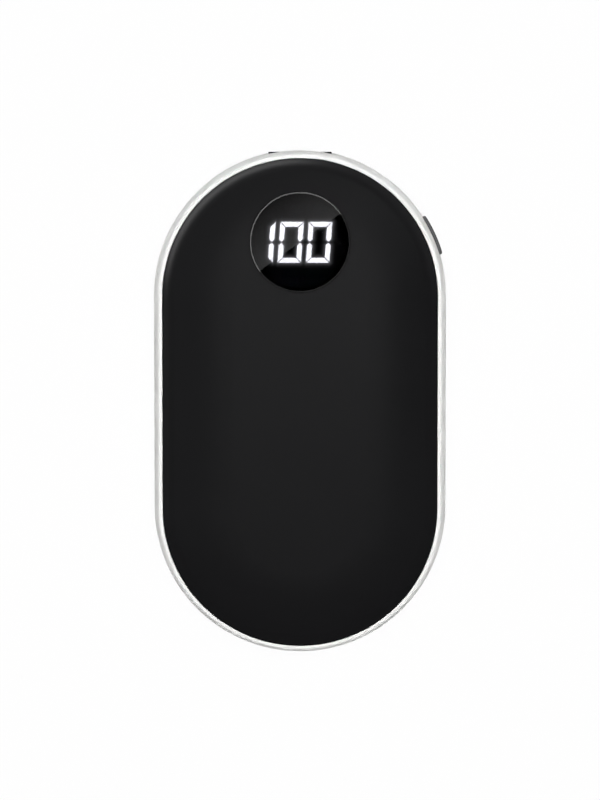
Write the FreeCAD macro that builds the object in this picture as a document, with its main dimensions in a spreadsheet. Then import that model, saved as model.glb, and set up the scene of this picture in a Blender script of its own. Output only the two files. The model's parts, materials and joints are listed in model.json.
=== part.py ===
import FreeCAD, Part
import math
import os

import Sketcher
from FreeCAD import Rotation, Vector

# Driving sizes in millimetres and degrees.
# The hand warmer lies on its rear cover: +Z out of the display face, +Y to the charging socket,
# +X to the power button, origin in the middle of the rear face.
SIZES = {
    # case: a stadium in plan, two crowned covers clipped into a band
    "case_length": 105.0,
    "case_width": 61.0,
    "case_thickness": 24.0,
    "band_edge_radius": 0.9,
    "band_bulge": 1.15,
    "band_wall": 3.3,
    "rebate_depth": 1.0,
    "cover_gap": 0.1,
    "cover_wall": 1.5,
    "cover_flat_inset": 14.4,
    "cover_crown_drop": 1.4,
    "cover_edge_radius": 5.0,
    "cover_edge_sink": 3.2,
    "cover_rim_rise": 0.3,
    # snap hooks of the covers
    "hook_end_gap": 5.0,
    "hook_least_pitch": 15.0,
    "hook_width": 6.0,
    "hook_thickness": 1.1,
    "hook_gap": 0.2,
    "hook_nose": 0.7,
    "hook_nose_height": 1.1,
    "hook_middle_gap": 0.6,
    # display lens and its seat
    "lens_end_distance": 19.4,
    "lens_diameter": 20.4,
    "lens_thickness": 1.4,
    "lens_bevel_width": 0.2,
    "lens_bevel_drop": 0.07,
    "lens_gap": 0.2,
    "lens_seat_width": 1.2,
    "lens_seat_thickness": 1.1,
    "lens_boss_wall": 1.4,
    "adhesive_thickness": 0.15,
    # power button, pressed towards the middle of the round end
    "button_angle": 24.7,
    "button_width": 8.7,
    "button_height": 8.6,
    "button_corner_radius": 1.2,
    "button_proud": 0.4,
    "button_gap": 0.1,
    "button_edge_radius": 0.4,
    "button_flange_width": 10.7,
    "button_flange_gap": 2.3,
    "button_flange_back": 1.6,
    "button_post_width": 3.0,
    "button_post_height": 2.0,
    "button_travel": 0.4,
    # switch behind the button
    "switch_width": 4.7,
    "switch_depth": 3.2,
    "switch_setback": 4.7,
    "plunger_width": 2.4,
    "plunger_height": 1.4,
    "plunger_reach": 1.5,
    "plunger_insertion": 0.8,
    "plunger_gap": 0.05,
    # charging socket and its surround
    "port_width": 13.2,
    "port_height": 8.8,
    "port_corner_radius": 0.4,
    "port_recess": 0.65,
    "port_gap": 0.05,
    "socket_width": 8.94,
    "socket_height": 3.26,
    "socket_length": 7.35,
    "socket_wall": 0.3,
    "socket_recess": 0.8,
    "socket_block_length": 1.8,
    "socket_foot_width": 1.4,
    "socket_foot_length": 1.0,
    "tongue_width": 6.69,
    "tongue_thickness": 0.7,
    "tongue_setback": 0.8,
    "contact_width": 0.25,
    "contact_pitch": 0.5,
    "contact_length": 3.4,
    "contact_thickness": 0.08,
    # cells, glued to both faces of the cradle web
    "cell_edge_radius": 1.2,
    "cell_gap": 0.3,
    "terrace_length": 3.0,
    "terrace_inset": 1.0,
    "terrace_thickness": 0.4,
    "tab_width": 4.0,
    "tab_thickness": 0.15,
    "tab_offset": 8.0,
    "guard_inset": 1.0,
    "guard_width": 2.6,
    "guard_thickness": 0.8,
    # cradle, as large as the bore of the band and its bosses leave room for
    "web_thickness": 1.2,
    "cradle_wall": 1.5,
    "cradle_side_gap": 1.9,
    "cradle_end_gap": 1.2,
    "cradle_height": 12.0,
    "ear_width": 5.0,
    "lug_width": 4.4,
    "lug_length": 4.8,
    "lug_height": 5.0,
    "lug_lead_gap": 0.5,
    "lug_pin_gap": 0.9,
    # screws and bosses
    "screw_radius": 0.9,
    "screw_length": 4.0,
    "screw_head_radius": 1.8,
    "screw_head_height": 1.2,
    "screw_socket_radius": 0.8,
    "screw_socket_depth": 0.6,
    "thread_gap": 0.03,
    "screw_pass_gap": 0.15,
    "boss_radius": 2.4,
    "boss_inset": 2.1,
    "boss_floor_gap": 0.2,
    "board_boss_angle": 48.0,
    # heating stack under each cover
    "film_inset": 5.5,
    "film_boss_gap": 0.5,
    "film_thickness": 0.25,
    "track_width": 1.8,
    "track_gap": 1.3,
    "track_margin": 1.7,
    "track_edge_gap": 0.5,
    "track_insulator_gap": 1.8,
    "track_thickness": 0.15,
    "stack_gap": 0.1,
    "insulator_thickness": 0.8,
    "feeler_width": 2.4,
    "feeler_length": 1.6,
    "feeler_thickness": 1.0,
    "feeler_inset": 1.2,
    "feeler_gap": 0.5,
    # main board and what stands on it
    "board_thickness": 1.2,
    "board_gap": 0.3,
    "display_corner_angle": 34.5,
    "display_window_gap": 0.2,
    "display_gap": 0.25,
    "pin_radius": 0.3,
    "pin_pitch": 2.54,
    "pin_row_inset": 1.0,
    "pin_tail": 1.0,
    "pin_gap": 0.05,
    "digit_end_margin": 0.92,
    "digit_side_margin": 1.11,
    "digit_space": 1.01,
    "digit_stroke": 1.0,
    "digit_joint": 0.12,
    "digit_slant": 4.2,
    "segment_depth": 0.8,
    "chip_size": 5.0,
    "chip_height": 0.9,
    "inductor_size": 6.0,
    "inductor_height": 3.0,
    "transistor_length": 2.9,
    "transistor_width": 1.6,
    "transistor_height": 1.1,
    "capacitor_length": 1.6,
    "capacitor_width": 0.8,
    "resistor_length": 1.0,
    "resistor_width": 0.5,
    "resistor_height": 0.35,
    # leads
    "battery_lead_radius": 0.6,
    "battery_lead_inset": 1.5,
    "battery_lead_rise": 1.55,
    "battery_lead_landing": 5.4,
    "heater_lead_radius": 0.4,
    "heater_lead_rise": 1.5,
    "heater_lead_landing": 3.4,
    "sensor_lead_radius": 0.25,
    "sensor_lead_spacing": 1.2,
    "sensor_lead_rise": 1.0,
    "sensor_lead_landing": 2.0,
}
# Middles of the components on the rear of the board: across, and up from the middle of the display.
BOARD_SPOTS = {
    "charge_chip": [(-7.5, 7.9)],
    "microcontroller": [(0.0, 0.0)],
    "power_inductor": [(-16.0, 0.0)],
    "heater_transistors": [(9.5, 0.0), (9.5, 3.5)],
    "board_capacitors": [(-9.0, -2.0), (-9.0, 0.0), (-9.0, 2.0), (8.0, 7.9), (8.0, 9.9)],
    "board_resistors": [(-3.2, 7.4), (-1.6, 7.4), (0.0, 7.4), (1.6, 7.4), (3.2, 7.4), (4.8, 7.4)],
}
PINS_PER_ROW = 5
CONTACTS_PER_FACE = 12
LEAD_BEND_SHARE = 0.45

doc = FreeCAD.newDocument("hand_warmer")
pieces = []


# Sizes that carry their number and their formula


class Size:
    # A length or angle: its number, and the sheet formula it comes from.
    def __init__(self, number, formula):
        self.number = float(number)
        self.formula = formula

    def joined(self, other, sign, number):
        return Size(number, f"({self.formula} {sign} {other.formula})")

    def __add__(self, other):
        other = sized(other)
        return self.joined(other, "+", self.number + other.number)

    def __sub__(self, other):
        other = sized(other)
        return self.joined(other, "-", self.number - other.number)

    def __mul__(self, other):
        other = sized(other)
        return self.joined(other, "*", self.number * other.number)

    def __truediv__(self, other):
        other = sized(other)
        return self.joined(other, "/", self.number / other.number)

    def __neg__(self):
        return Size(-self.number, f"(-1 * {self.formula})")

    def __rmul__(self, other):
        return sized(other) * self

    def __rsub__(self, other):
        return sized(other) - self


def sized(value):
    return value if isinstance(value, Size) else Size(value, repr(float(value)))


def root(value):
    return Size(math.sqrt(value.number), f"sqrt({value.formula})")


def sine(angle):
    return Size(math.sin(math.radians(angle.number)), f"sin({angle.formula})")


def cosine(angle):
    return Size(math.cos(math.radians(angle.number)), f"cos({angle.formula})")


def tangent(angle):
    return Size(math.tan(math.radians(angle.number)), f"tan({angle.formula})")


def fill_sheet():
    sheet = doc.addObject("Spreadsheet::Sheet", "sizes")
    for row, (alias, number) in enumerate(SIZES.items(), start=1):
        sheet.set(f"A{row}", alias)
        sheet.set(f"B{row}", str(number))
        sheet.setAlias(f"B{row}", alias)
    doc.recompute()


def size(alias):
    return Size(SIZES[alias], f"sizes.{alias}")


derived_sheet = doc.addObject("Spreadsheet::Sheet", "derived")
derived_rows = []


def derived(alias, value):
    # A worked-out place gets a cell of its own, so that formulas stay short.
    derived_rows.append(alias)
    row = len(derived_rows)
    derived_sheet.set(f"A{row}", alias)
    derived_sheet.set(f"B{row}", "=" + value.formula)
    derived_sheet.setAlias(f"B{row}", alias)
    return Size(value.number, f"derived.{alias}")


def bind(target, path, value):
    target.setExpression(path, sized(value).formula)


# Solids


def put(target, x=0, y=0, z=0):
    for axis, value in zip("xyz", (x, y, z)):
        bind(target, f"Placement.Base.{axis}", value)
    return target


def box(name, low, span):
    block = doc.addObject("Part::Box", name)
    for side, value in zip(("Length", "Width", "Height"), span):
        bind(block, side, value)
    return put(block, *low)


def centred_box(name, centre, low_z, span):
    low = (centre[0] - span[0] / 2, centre[1] - span[1] / 2, low_z)
    return box(name, low, span)


def rod(name, x, y, z, radius, height):
    cylinder = doc.addObject("Part::Cylinder", name)
    bind(cylinder, "Radius", radius)
    bind(cylinder, "Height", height)
    return put(cylinder, x, y, z)


def fuse(name, parts):
    union = doc.addObject("Part::MultiFuse", name)
    union.Shapes = parts
    union.Refine = True
    return union


def cut(name, base, tools):
    result = doc.addObject("Part::Cut", name)
    result.Base = base
    result.Tool = tools[0] if len(tools) == 1 else fuse(name + "_tools", tools)
    result.Refine = True
    return result


def common(name, base, tool):
    result = doc.addObject("Part::Common", name)
    result.Base = base
    result.Tool = tool
    return result


def group(name, parts):
    compound = doc.addObject("Part::Compound", name)
    compound.Links = parts
    return compound


def piece(node, solid):
    solid.Label = node
    pieces.append(solid)
    doc.recompute()
    return solid


# Bodies and sketches


def origin_plane(body, role):
    return next(feature for feature in body.Origin.OriginFeatures if feature.Role == role)


def sketch(body, name, role, offset=None):
    drawing = body.newObject("Sketcher::SketchObject", name)
    drawing.AttachmentSupport = [(origin_plane(body, role), "")]
    drawing.MapMode = "FlatFace"
    if offset is not None:
        bind(drawing, "AttachmentOffset.Base.z", offset)
    return drawing


def flat_point(corner):
    return Vector(sized(corner[0]).number, sized(corner[1]).number, 0)


def hold(drawing, kind, geometry, position, value):
    # Ties one coordinate of a sketch point to its formula.
    value = sized(value)
    if abs(value.number) < 1e-9:
        axis = -2 if kind == "DistanceX" else -1
        drawing.addConstraint(Sketcher.Constraint("PointOnObject", geometry, position, axis))
        return
    if value.number > 0:
        ends = (-1, 1, geometry, position)
    else:
        ends = (geometry, position, -1, 1)
        value = -value
    index = drawing.addConstraint(Sketcher.Constraint(kind, *ends, value.number))
    drawing.setExpression(f"Constraints[{index}]", value.formula)


def arc_between(start, end, centre):
    circle = Part.Circle(centre, Vector(0, 0, 1), (start - centre).Length)
    first = math.atan2(start.y - centre.y, start.x - centre.x)
    last = math.atan2(end.y - centre.y, end.x - centre.x)
    return Part.ArcOfCircle(circle, first, last)


def outline(drawing, corners, arcs=None, clockwise=()):
    # A closed loop through the corners; arcs maps a corner to the centre of the arc that follows it.
    arcs = arcs or {}
    base = drawing.GeometryCount
    count = len(corners)
    for index in range(count):
        start = flat_point(corners[index])
        end = flat_point(corners[(index + 1) % count])
        if index not in arcs:
            drawing.addGeometry(Part.LineSegment(start, end))
        elif index in clockwise:
            drawing.addGeometry(arc_between(end, start, flat_point(arcs[index])))
        else:
            drawing.addGeometry(arc_between(start, end, flat_point(arcs[index])))
    for index in range(count):
        following = (index + 1) % count
        leaving = 1 if index in clockwise else 2
        arriving = 2 if following in clockwise else 1
        drawing.addConstraint(
            Sketcher.Constraint("Coincident", base + index, leaving, base + following, arriving)
        )
    for index, corner in enumerate(corners):
        starting = 2 if index in clockwise else 1
        hold(drawing, "DistanceX", base + index, starting, corner[0])
        hold(drawing, "DistanceY", base + index, starting, corner[1])
    for index, centre in arcs.items():
        chord = flat_point(corners[(index + 1) % count]) - flat_point(corners[index])
        upright = abs(chord.y) > abs(chord.x)
        hold(drawing, "DistanceX" if upright else "DistanceY", base + index, 3, centre[0 if upright else 1])


def circle(drawing, x, y, radius):
    centre = flat_point((x, y))
    geometry = drawing.addGeometry(Part.Circle(centre, Vector(0, 0, 1), radius.number))
    hold(drawing, "DistanceX", geometry, 3, x)
    hold(drawing, "DistanceY", geometry, 3, y)
    index = drawing.addConstraint(Sketcher.Constraint("Radius", geometry, radius.number))
    drawing.setExpression(f"Constraints[{index}]", radius.formula)


def pad(body, name, drawing, length, both_ways=False, backwards=False):
    feature = body.newObject("PartDesign::Pad", name)
    feature.Profile = drawing
    feature.Midplane = both_ways
    feature.Reversed = backwards
    bind(feature, "Length", length)
    return feature


def mirror(body, name, original, role):
    feature = body.newObject("PartDesign::Mirrored", name)
    feature.Originals = [original]
    feature.MirrorPlane = (origin_plane(body, role), [""])
    body.Tip = feature
    return feature


def stadium_sweep(name, draw):
    # One cross-section carried along both straight sides and around both ends of the case.
    body = doc.addObject("PartDesign::Body", name)
    side = sketch(body, name + "_side_section", "XZ_Plane")
    draw(side)
    run = pad(body, name + "_side", side, 2 * half_straight, both_ways=True)
    doc.recompute()
    mirror(body, name + "_both_sides", run, "YZ_Plane")
    end = sketch(body, name + "_end_section", "XZ_Plane", -half_straight)
    draw(end)
    turn = body.newObject("PartDesign::Revolution", name + "_end")
    turn.Profile = end
    turn.ReferenceAxis = (end, ["V_Axis"])
    turn.Angle = 180
    doc.recompute()
    mirror(body, name + "_both_ends", turn, "XZ_Plane")
    doc.recompute()
    return body


def obround_corners(width, height, centre_z):
    half = (width - height) / 2
    end = height / 2
    corners = [
        (-half, centre_z - end),
        (half, centre_z - end),
        (half, centre_z + end),
        (-half, centre_z + end),
    ]
    return corners, {1: (half, centre_z), 3: (-half, centre_z)}


def obround_along_y(name, start, length, width, height):
    body = doc.addObject("PartDesign::Body", name)
    drawing = sketch(body, name + "_section", "XZ_Plane", -start)
    outline(drawing, *obround_corners(width, height, mid_height))
    pad(body, name + "_length", drawing, length, backwards=True)
    return body


def cushion_outline(drawing, width, height, radius, centre_z):
    # A rounded rectangle.
    side = width / 2
    inner = side - radius
    bottom = centre_z - height / 2
    top = centre_z + height / 2
    low = bottom + radius
    high = top - radius
    corners = [
        (-inner, bottom),
        (inner, bottom),
        (side, low),
        (side, high),
        (inner, top),
        (-inner, top),
        (-side, high),
        (-side, low),
    ]
    outline(drawing, corners, {1: (inner, low), 3: (inner, high), 5: (-inner, high), 7: (-inner, low)})


def cushion_along_y(name, start, length, width, height, radius):
    body = doc.addObject("PartDesign::Body", name)
    drawing = sketch(body, name + "_section", "XZ_Plane", -start)
    cushion_outline(drawing, width, height, radius, mid_height)
    pad(body, name + "_length", drawing, length, backwards=True)
    return body


def cushion_along_x(name, start, length, width, height, radius):
    body = doc.addObject("PartDesign::Body", name)
    drawing = sketch(body, name + "_section", "YZ_Plane", start)
    cushion_outline(drawing, width, height, radius, sized(0))
    pad(body, name + "_length", drawing, length)
    return body


def on_button_axis(target):
    # Turns something drawn with the press direction along X onto the button's place.
    put(target, 0, half_straight, mid_height)
    bind(target, "Placement.Rotation.Angle", button_angle)
    return target


# Places worked out from the driving sizes

fill_sheet()
end_radius = derived("end_radius", size("case_width") / 2)
half_length = derived("half_length", size("case_length") / 2)
half_straight = derived("half_straight", half_length - end_radius)
mid_height = derived("mid_height", size("case_thickness") / 2)
button_angle = size("button_angle")

# The edge of a cover is part of an arc, with its middle below the rim that stands in the band.
edge_radius = size("cover_edge_radius")
edge_middle = derived("edge_middle", size("case_thickness") - size("cover_crown_drop") - edge_radius)
edge_sink = size("cover_edge_sink")
edge_reach = derived("edge_reach", root(edge_radius * edge_radius - edge_sink * edge_sink))
inner_edge = edge_radius - size("cover_wall")
inner_reach = edge_reach - size("cover_wall")
inner_foot = derived("inner_foot", edge_middle + root(inner_edge * inner_edge - inner_reach * inner_reach))
rim_top = derived("rim_top", edge_middle + edge_sink)

band_top = derived("band_top", rim_top - size("cover_rim_rise"))
band_height = derived("band_height", 2 * (band_top - mid_height))
ledge = derived("ledge", band_top - size("rebate_depth"))
band_lip = derived("band_lip", size("band_edge_radius") + size("band_bulge"))
rebate_radius = derived("rebate_radius", end_radius - band_lip)
bore_radius = derived("bore_radius", end_radius - size("band_wall"))
rim_radius = derived("rim_radius", rebate_radius - size("cover_gap"))

# The crown of a cover starts at the flat and runs smoothly into the edge arc.
flat_radius = derived("flat_radius", rim_radius - size("cover_flat_inset"))
crown_run = size("cover_flat_inset") - edge_reach
crown_slope = derived("crown_slope", size("cover_crown_drop") / crown_run)
crown_sine = derived("crown_sine", 2 * crown_slope / (crown_slope * crown_slope + 1))
crown_cosine = derived("crown_cosine", root(1 - crown_sine * crown_sine))
crown_radius = derived("crown_radius", crown_run / crown_sine + edge_radius)
crown_centre = derived("crown_centre", size("case_thickness") - crown_radius)
inner_face = derived("inner_face", size("case_thickness") - size("cover_wall"))

hook_outside = derived("hook_outside", bore_radius - size("hook_gap"))
hook_inside = derived("hook_inside", hook_outside - size("hook_thickness"))
hook_tip = derived("hook_tip", mid_height + size("hook_middle_gap"))
hook_reach = derived("hook_reach", half_straight - size("hook_end_gap"))
hook_steps = int(2 * hook_reach.number / SIZES["hook_least_pitch"])
hook_pitch = derived("hook_pitch", 2 * hook_reach / hook_steps)

lens_centre = derived("lens_centre", half_length - size("lens_end_distance"))
lens_radius = derived("lens_radius", size("lens_diameter") / 2)
lens_top = derived("lens_top", size("case_thickness"))
lens_bottom = derived("lens_bottom", lens_top - size("lens_thickness"))
lens_seat = derived("lens_seat", lens_bottom - size("adhesive_thickness"))
lens_bore = derived("lens_bore", lens_radius + size("lens_gap"))
window_radius = derived("window_radius", lens_bore - size("lens_seat_width"))
lens_boss_radius = derived("lens_boss_radius", lens_bore + size("lens_boss_wall"))

# The display fills the window to its corners, and the figures fill the display.
display_reach = window_radius - size("display_window_gap")
display_width = derived("display_width", 2 * display_reach * cosine(size("display_corner_angle")))
display_depth = derived("display_depth", 2 * display_reach * sine(size("display_corner_angle")))
display_top = derived("display_top", lens_bottom - size("display_gap"))
pin_row_offset = derived("pin_row_offset", display_depth / 2 - size("pin_row_inset"))
digit_height = derived("digit_height", display_depth - 2 * size("digit_end_margin"))
digit_span = display_width - 2 * size("digit_side_margin")
digit_pitch = derived("digit_pitch", (digit_span - size("digit_stroke")) / 2)
digit_width = derived("digit_width", digit_pitch - size("digit_space"))

# From the outside in: film, track, insulator, then the cell down to the web of the cradle.
web_top = derived("web_top", mid_height + size("web_thickness") / 2)
film_inner = derived("film_inner", inner_face - size("film_thickness"))
track_inner = derived("track_inner", film_inner - size("track_thickness"))
cell_top = derived("cell_top", track_inner - size("insulator_thickness") - size("stack_gap"))
cell_thickness = derived("cell_thickness", cell_top - web_top)

boss_centre = derived("boss_centre", bore_radius - size("boss_inset"))
boss_floor = derived("boss_floor", size("case_thickness") - ledge + size("boss_floor_gap"))
cradle_half = derived("cradle_half", boss_centre - size("boss_radius") - size("cradle_side_gap"))
corner_rise = root(bore_radius * bore_radius - cradle_half * cradle_half)
cradle_low = derived("cradle_low", size("cradle_end_gap") - half_straight - corner_rise)
lug_end = derived("lug_end", lens_centre - pin_row_offset - size("lug_pin_gap"))
cradle_high = derived("cradle_high", lug_end - size("lug_length"))
pocket_half = derived("pocket_half", cradle_half - size("cradle_wall"))
pocket_low = derived("pocket_low", cradle_low + size("cradle_wall"))
pocket_high = derived("pocket_high", cradle_high - size("cradle_wall"))

cell_width = derived("cell_width", 2 * (pocket_half - size("cell_gap")))
cell_low = derived("cell_low", pocket_low + size("cell_gap"))
terrace_end = derived("terrace_end", pocket_high - size("cell_gap"))
cell_high = derived("cell_high", terrace_end - size("terrace_length"))
terrace_width = derived("terrace_width", cell_width - 2 * size("terrace_inset"))
terrace_top = derived("terrace_top", web_top + cell_thickness / 2 + size("terrace_thickness") / 2)
guard_length = derived("guard_length", terrace_width - 2 * size("guard_inset"))
guard_low = derived("guard_low", terrace_top + size("tab_thickness"))
guard_top = derived("guard_top", guard_low + size("guard_thickness"))

film_half = derived("film_half", cell_width / 2 - size("film_inset"))
film_top = derived("film_top", lens_centre - lens_boss_radius - size("film_boss_gap"))
feeler_place = derived("feeler_place", film_top - size("feeler_inset"))
insulator_top = derived("insulator_top", feeler_place - size("feeler_length") / 2 - size("feeler_gap"))
track_half = derived("track_half", film_half - size("track_margin"))
track_high = derived("track_high", insulator_top - size("track_insulator_gap"))
track_reach = film_half - size("track_edge_gap")
track_rise = root(track_reach * track_reach - track_half * track_half)
track_low = derived("track_low", -(half_straight + track_rise))
heater_lead_x = derived("heater_lead_x", track_half - size("track_width") / 2)

board_low = derived("board_low", mid_height + size("socket_height") / 2)
board_top = derived("board_top", board_low + size("board_thickness"))
board_radius = derived("board_radius", bore_radius - size("board_gap"))
board_edge = derived("board_edge", cradle_high + size("board_gap"))
board_boss_x = derived("board_boss_x", boss_centre * cosine(size("board_boss_angle")))
board_boss_y = derived("board_boss_y", half_straight + boss_centre * sine(size("board_boss_angle")))
lug_clearance = size("heater_lead_radius") + size("lug_lead_gap")
lug_x = derived("lug_x", heater_lead_x + lug_clearance + size("lug_width") / 2)
lug_y = derived("lug_y", lug_end - size("lug_length") / 2)
tapped_radius = derived("tapped_radius", size("screw_radius") + size("thread_gap"))
pass_radius = derived("pass_radius", size("screw_radius") + size("screw_pass_gap"))

button_face = derived("button_face", end_radius + size("button_proud"))
flange_face = derived("flange_face", bore_radius - size("button_gap"))
flange_back = derived("flange_back", bore_radius - size("button_flange_back"))
flange_height = derived("flange_height", 2 * (ledge - mid_height - size("button_flange_gap")))
switch_face = derived("switch_face", bore_radius - size("switch_setback"))
plunger_tip = derived("plunger_tip", switch_face + size("plunger_reach"))

socket_front = derived("socket_front", half_length - size("socket_recess"))
socket_back = derived("socket_back", socket_front - size("socket_length"))
socket_inner_width = derived("socket_inner_width", size("socket_width") - 2 * size("socket_wall"))
socket_inner_height = derived("socket_inner_height", size("socket_height") - 2 * size("socket_wall"))
tongue_root = derived("tongue_root", socket_back + size("socket_block_length"))
tongue_end = derived("tongue_end", socket_front - size("tongue_setback"))

# The ears of the cradle stand between the snap hooks.
HOOK_PLACES = [step * hook_pitch - hook_reach for step in range(hook_steps + 1)]
EAR_PLACES = [(step + 0.5) * hook_pitch - hook_reach for step in range(hook_steps)]
CRADLE_SCREWS = [(side * boss_centre, place) for side in (-1, 1) for place in EAR_PLACES]
BOARD_BOSSES = [(side * board_boss_x, board_boss_y) for side in (-1, 1)]
BOARD_LUGS = [(side * lug_x, lug_y) for side in (-1, 1)]


# Case


def cover_section(drawing):
    wall = size("cover_wall")
    edge_centre = (rim_radius - edge_reach, edge_middle)
    crown_middle = (flat_radius, crown_centre)
    inner_crown = crown_radius - wall
    corners = [
        (sized(0), inner_face),
        (flat_radius, inner_face),
        (flat_radius + inner_crown * crown_sine, crown_centre + inner_crown * crown_cosine),
        (rim_radius - wall, inner_foot),
        (rim_radius - wall, ledge),
        (rim_radius, ledge),
        (rim_radius, rim_top),
        (flat_radius + crown_radius * crown_sine, crown_centre + crown_radius * crown_cosine),
        (flat_radius, size("case_thickness")),
        (sized(0), size("case_thickness")),
    ]
    arcs = {1: crown_middle, 2: edge_centre, 6: edge_centre, 7: crown_middle}
    outline(drawing, corners, arcs, clockwise=(1, 2))


def snap_hooks(name):
    # Tongues rooted in the shoulder of the cover, each with a nose towards the band.
    offset = hook_inside - rim_radius + edge_reach
    shoulder = edge_middle + root(inner_edge * inner_edge - offset * offset)
    hook_root = shoulder + size("cover_wall") / 4
    hooks = []
    for side in (-1, 1):
        for place in HOOK_PLACES:
            label = f"{name}_{len(hooks)}"
            low_y = place - size("hook_width") / 2
            inner = hook_inside if side > 0 else -hook_outside
            nose = hook_outside if side > 0 else -(hook_outside + size("hook_nose"))
            tongue_span = (size("hook_thickness"), size("hook_width"), hook_root - hook_tip)
            nose_span = (size("hook_nose"), size("hook_width"), size("hook_nose_height"))
            hooks.append(box(label + "_tongue", (inner, low_y, hook_tip), tongue_span))
            hooks.append(box(label + "_nose", (nose, low_y, hook_tip), nose_span))
    return hooks


def make_front_cover():
    shell = stadium_sweep("front_shell", cover_section)
    boss_low = lens_seat - size("lens_seat_thickness")
    centre = (0, lens_centre)
    boss_height = inner_face - boss_low + size("adhesive_thickness")
    boss = rod("lens_boss", *centre, boss_low, lens_boss_radius, boss_height)
    solid = fuse("front_cover_solid", [shell, boss] + snap_hooks("front_hook"))
    window = rod("lens_window", *centre, boss_low, window_radius, size("case_thickness") - boss_low)
    seat = rod("lens_recess", *centre, lens_seat, lens_bore, size("case_thickness") - lens_seat)
    piece("front_cover", cut("front_cover", solid, [window, seat]))


def make_rear_cover():
    shell = stadium_sweep("rear_shell", cover_section)
    solid = fuse("rear_cover", [shell] + snap_hooks("rear_hook"))
    solid.Placement.Rotation = Rotation(Vector(0, 1, 0), 180)
    put(solid, 0, 0, size("case_thickness"))
    piece("rear_cover", solid)


def band_section(drawing):
    # The outside is one barrel arc that runs smoothly into two rounded lips.
    lip = band_lip
    edge = size("band_edge_radius")
    rise = band_height / 2 - edge
    barrel = (rise * rise + lip * lip - edge * edge) / (2 * size("band_bulge"))
    touch_x = end_radius - barrel + barrel * (barrel - lip) / (barrel - edge)
    touch_rise = barrel * rise / (barrel - edge)
    low_ledge = size("case_thickness") - ledge
    band_bottom = size("case_thickness") - band_top
    corners = [
        (bore_radius, low_ledge),
        (rebate_radius, low_ledge),
        (rebate_radius, band_bottom),
        (touch_x, mid_height - touch_rise),
        (touch_x, mid_height + touch_rise),
        (rebate_radius, band_top),
        (rebate_radius, ledge),
        (bore_radius, ledge),
    ]
    arcs = {
        2: (rebate_radius, mid_height - rise),
        3: (end_radius - barrel, mid_height),
        4: (rebate_radius, mid_height + rise),
    }
    outline(drawing, corners, arcs)


def hook_pockets():
    gap = size("hook_gap")
    depth = size("hook_nose") + gap
    span = (depth, size("hook_width") + 2 * gap, size("hook_nose_height") + 2 * gap)
    front_low = hook_tip - gap
    rear_low = size("case_thickness") - front_low - span[2]
    pockets = []
    for side in (-1, 1):
        for place in HOOK_PLACES:
            low_x = hook_outside if side > 0 else -(hook_outside + depth)
            low_y = place - span[1] / 2
            for low_z in (front_low, rear_low):
                pockets.append(box(f"hook_pocket_{len(pockets)}", (low_x, low_y, low_z), span))
    return pockets


def make_frame_band():
    ring = stadium_sweep("band_ring", band_section)
    radius = size("boss_radius")
    bosses = []
    holes = []
    for centre, top in [(spot, mid_height - size("web_thickness") / 2) for spot in CRADLE_SCREWS] + [
        (spot, board_low) for spot in BOARD_BOSSES
    ]:
        number = len(bosses)
        bosses.append(rod(f"band_boss_{number}", *centre, boss_floor, radius, top - boss_floor))
        holes.append(rod(f"band_hole_{number}", *centre, boss_floor, tapped_radius, top - boss_floor))
    solid = fuse("frame_band_solid", [ring] + bosses)
    port = cushion_along_y(
        "port_slot",
        bore_radius + half_straight - size("band_wall"),
        2 * size("band_wall"),
        size("port_width"),
        size("port_height"),
        size("port_corner_radius"),
    )
    slot = cushion_along_x(
        "button_slot",
        bore_radius - size("band_wall"),
        3 * size("band_wall"),
        size("button_width") + 2 * size("button_gap"),
        size("button_height") + 2 * size("button_gap"),
        size("button_corner_radius") + size("button_gap"),
    )
    on_button_axis(slot)
    piece("frame_band", cut("frame_band", solid, [port, slot] + holes + hook_pockets()))


def make_port_insert():
    start = bore_radius + half_straight
    length = size("band_wall") - size("port_recess")
    gap = 2 * size("port_gap")
    plug = cushion_along_y(
        "port_plug",
        start,
        length,
        size("port_width") - gap,
        size("port_height") - gap,
        size("port_corner_radius") - size("port_gap"),
    )
    mouth = obround_along_y(
        "port_mouth", start, length, size("socket_width") + gap, size("socket_height") + gap
    )
    piece("port_insert", cut("port_insert", plug, [mouth]))


def make_lens():
    centre = (0, lens_centre)
    drop = size("lens_bevel_drop")
    disc = rod("lens_disc", *centre, lens_bottom, lens_radius, size("lens_thickness") - drop)
    rim = doc.addObject("Part::Cone", "lens_rim")
    bind(rim, "Radius1", lens_radius)
    bind(rim, "Radius2", lens_radius - size("lens_bevel_width"))
    bind(rim, "Height", drop)
    put(rim, *centre, lens_top - drop)
    piece("display_lens", fuse("display_lens", [disc, rim]))
    ring = rod("adhesive_disc", *centre, lens_seat, lens_radius, size("adhesive_thickness"))
    hole = rod("adhesive_hole", *centre, lens_seat, window_radius, size("adhesive_thickness"))
    piece("lens_adhesive", cut("lens_adhesive", ring, [hole]))


# Power button and switch


def round_outer_edges(name, base, radius, edge_radius):
    # Rounds the edges that lie on the outer face, a cylinder about the local Z axis.
    doc.recompute()
    result = doc.addObject("Part::Fillet", name)
    result.Base = base
    chosen = []
    for number, edge in enumerate(base.Shape.Edges, start=1):
        middle = edge.valueAt((edge.FirstParameter + edge.LastParameter) / 2)
        spots = [vertex.Point for vertex in edge.Vertexes] + [middle]
        if all(abs(math.hypot(spot.x, spot.y) - radius) < 1e-3 for spot in spots):
            chosen.append((number, edge_radius, edge_radius))
    result.Edges = chosen
    return result


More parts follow.
